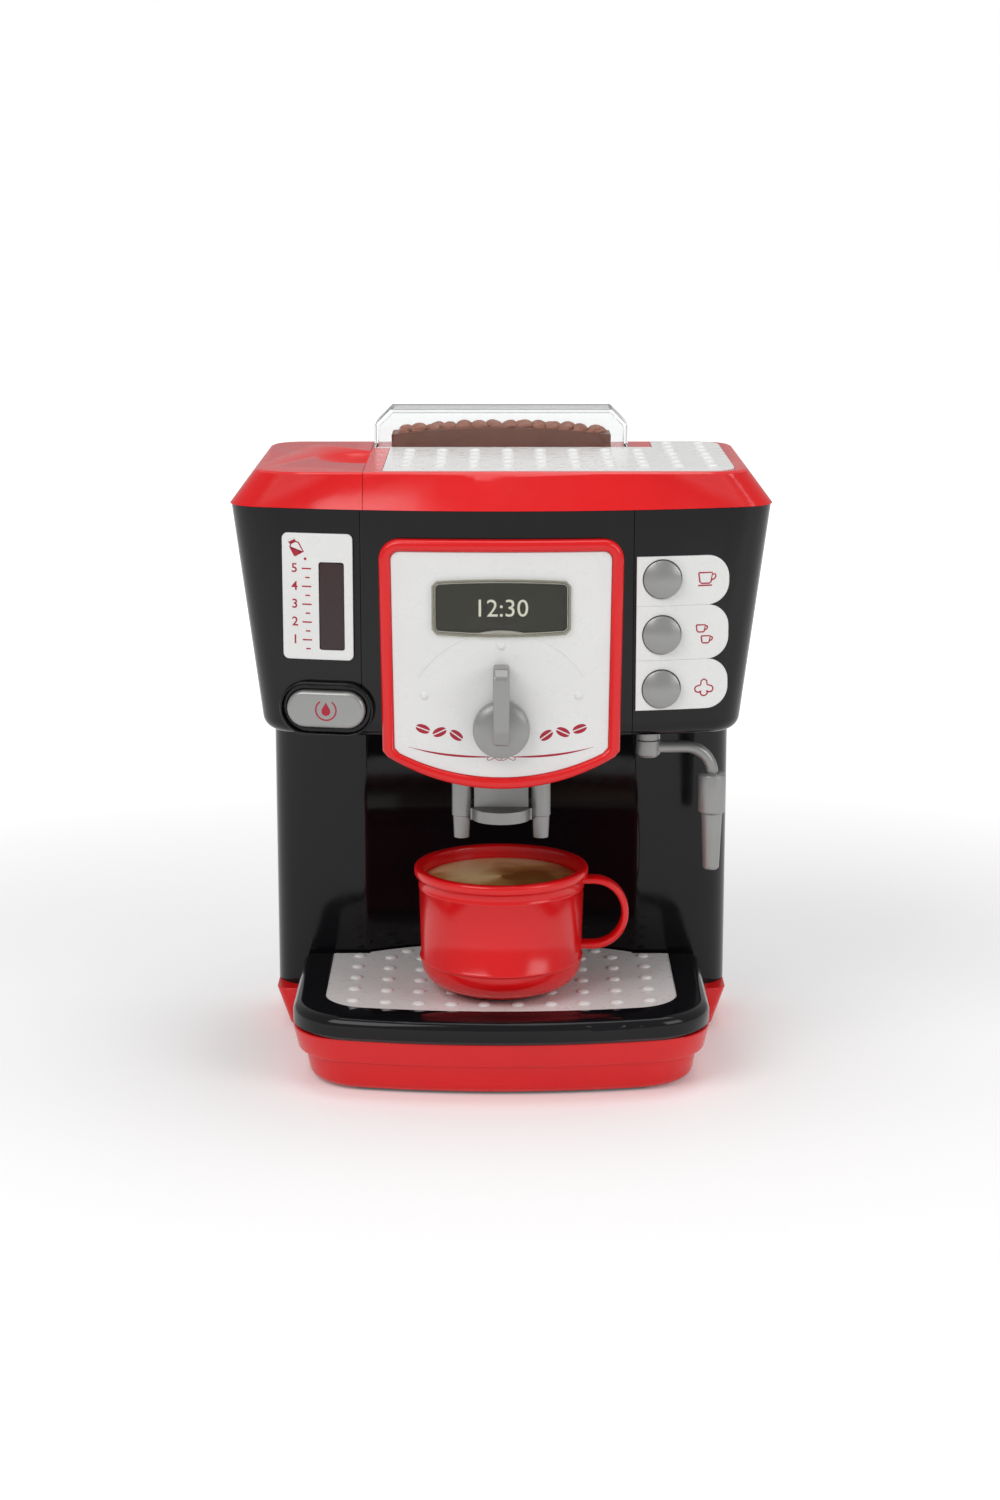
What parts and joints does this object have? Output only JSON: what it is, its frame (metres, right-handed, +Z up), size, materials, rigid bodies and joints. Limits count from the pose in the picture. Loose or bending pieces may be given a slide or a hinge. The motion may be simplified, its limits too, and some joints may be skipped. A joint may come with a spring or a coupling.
{
  "type": "toy coffee maker",
  "caption": "Play espresso machine with lift-off tank lid, selector knob, push buttons, swinging steam pipe, slide-out drip tray and a cup of moulded coffee.",
  "frame": {"origin": "on the table under the middle of the machine's bounding box", "axes": "+X to the viewer's right, +Y towards the back, +Z up"},
  "size_m": [0.213, 0.1435, 0.2629],
  "materials": {
    "red_plastic": "glossy",
    "black_plastic": "glossy",
    "white_plastic": "satin",
    "silver_plastic": "satin silver paint",
    "clear_plastic": "clear moulded plastic",
    "smoked_plastic": "smoked plastic",
    "bean_brown": "satin",
    "coffee": "printed coffee, glossy",
    "rubber": "matt",
    "steel": "zinc plated",
    "brass": "bright",
    "board": "solder mask",
    "cell": "printed sleeve",
    "display": "dark display card",
    "window_red": "dark tinted window"
  },
  "bodies": {
    "machine": {"base_shell": "red_plastic", "top_lid": "red_plastic", "bezel": "red_plastic", "base_plate": "black_plastic", "battery_box": "black_plastic", "battery_door": "black_plastic", "body_shell": "black_plastic", "head_shell": "black_plastic", "head_nose": "black_plastic", "tank_rest": "black_plastic", "rear_shell": "black_plastic", "button_dish": "black_plastic", "speaker": "black_plastic", "rotary_switch": "black_plastic", "pump_valve": "black_plastic", "deck_plate": "white_plastic", "face_panel": "white_plastic", "level_plate": "white_plastic", "button_plate": "white_plastic", "brew_head": "silver_plastic", "brew_spouts": "silver_plastic", "steam_socket": "silver_plastic", "hopper_cover": "clear_plastic", "water_tank": "clear_plastic", "water_hose": "clear_plastic", "display_lens": "smoked_plastic", "bean_block": "bean_brown", "rubber_feet": "rubber", "rubber_domes": "rubber", "pump_bellows": "rubber", "base_screws": "steel", "case_screws": "steel", "battery_contacts": "brass", "circuit_board": "board", "battery_cells": "cell", "display_card": "display", "level_window": "window_red"},
    "tank_lid": {"tank_lid": "red_plastic"},
    "tray": {"drip_tray": "black_plastic", "drip_grille": "white_plastic"},
    "cup": {"cup": "red_plastic", "coffee_disc": "coffee"},
    "selector_knob": {"selector_knob": "silver_plastic", "knob_shaft": "steel"},
    "single_cup_button": {"single_cup_button": "silver_plastic"},
    "double_cup_button": {"double_cup_button": "silver_plastic"},
    "steam_button": {"steam_button": "silver_plastic"},
    "pump_button": {"pump_button": "silver_plastic"},
    "steam_pipe": {"steam_arm": "silver_plastic", "steam_sleeve": "silver_plastic", "steam_nozzle": "silver_plastic"}
  },
  "joints": [
    {"name": "tank_lid_lift", "type": "slide", "parent": "machine", "child": "tank_lid", "axis": [0, 0, 1], "range_m": [0, 0.05]},
    {"name": "tray_pull", "type": "slide", "parent": "machine", "child": "tray", "axis": [0, -1, 0], "range_m": [0, 0.11]},
    {"name": "cup_pull", "type": "slide", "parent": "tray", "child": "cup", "axis": [0, -1, 0], "range_m": [0, 0.09]},
    {"name": "selector_turn", "type": "hinge", "parent": "machine", "child": "selector_knob", "pos_m": [0, -0.06, 0.149], "axis": [0, 1, 0], "range_deg": [-67, 67]},
    {"name": "single_cup_press", "type": "slide", "parent": "machine", "child": "single_cup_button", "axis": [0, 1, 0], "range_m": [0, 0.002], "stiffness_N_per_m": 250, "deforming": ["rubber_domes"]},
    {"name": "double_cup_press", "type": "slide", "parent": "machine", "child": "double_cup_button", "axis": [0, 1, 0], "range_m": [0, 0.002], "stiffness_N_per_m": 250},
    {"name": "steam_press", "type": "slide", "parent": "machine", "child": "steam_button", "axis": [0, 1, 0], "range_m": [0, 0.002], "stiffness_N_per_m": 250},
    {"name": "pump_press", "type": "slide", "parent": "machine", "child": "pump_button", "axis": [0, 1, 0], "range_m": [0, 0.003], "stiffness_N_per_m": 300, "deforming": ["pump_bellows"]},
    {"name": "steam_pipe_swing", "type": "hinge", "parent": "machine", "child": "steam_pipe", "pos_m": [0.0588, -0.025, 0.135], "axis": [0, 0, 1], "range_deg": [-75, 40]}
  ]
}
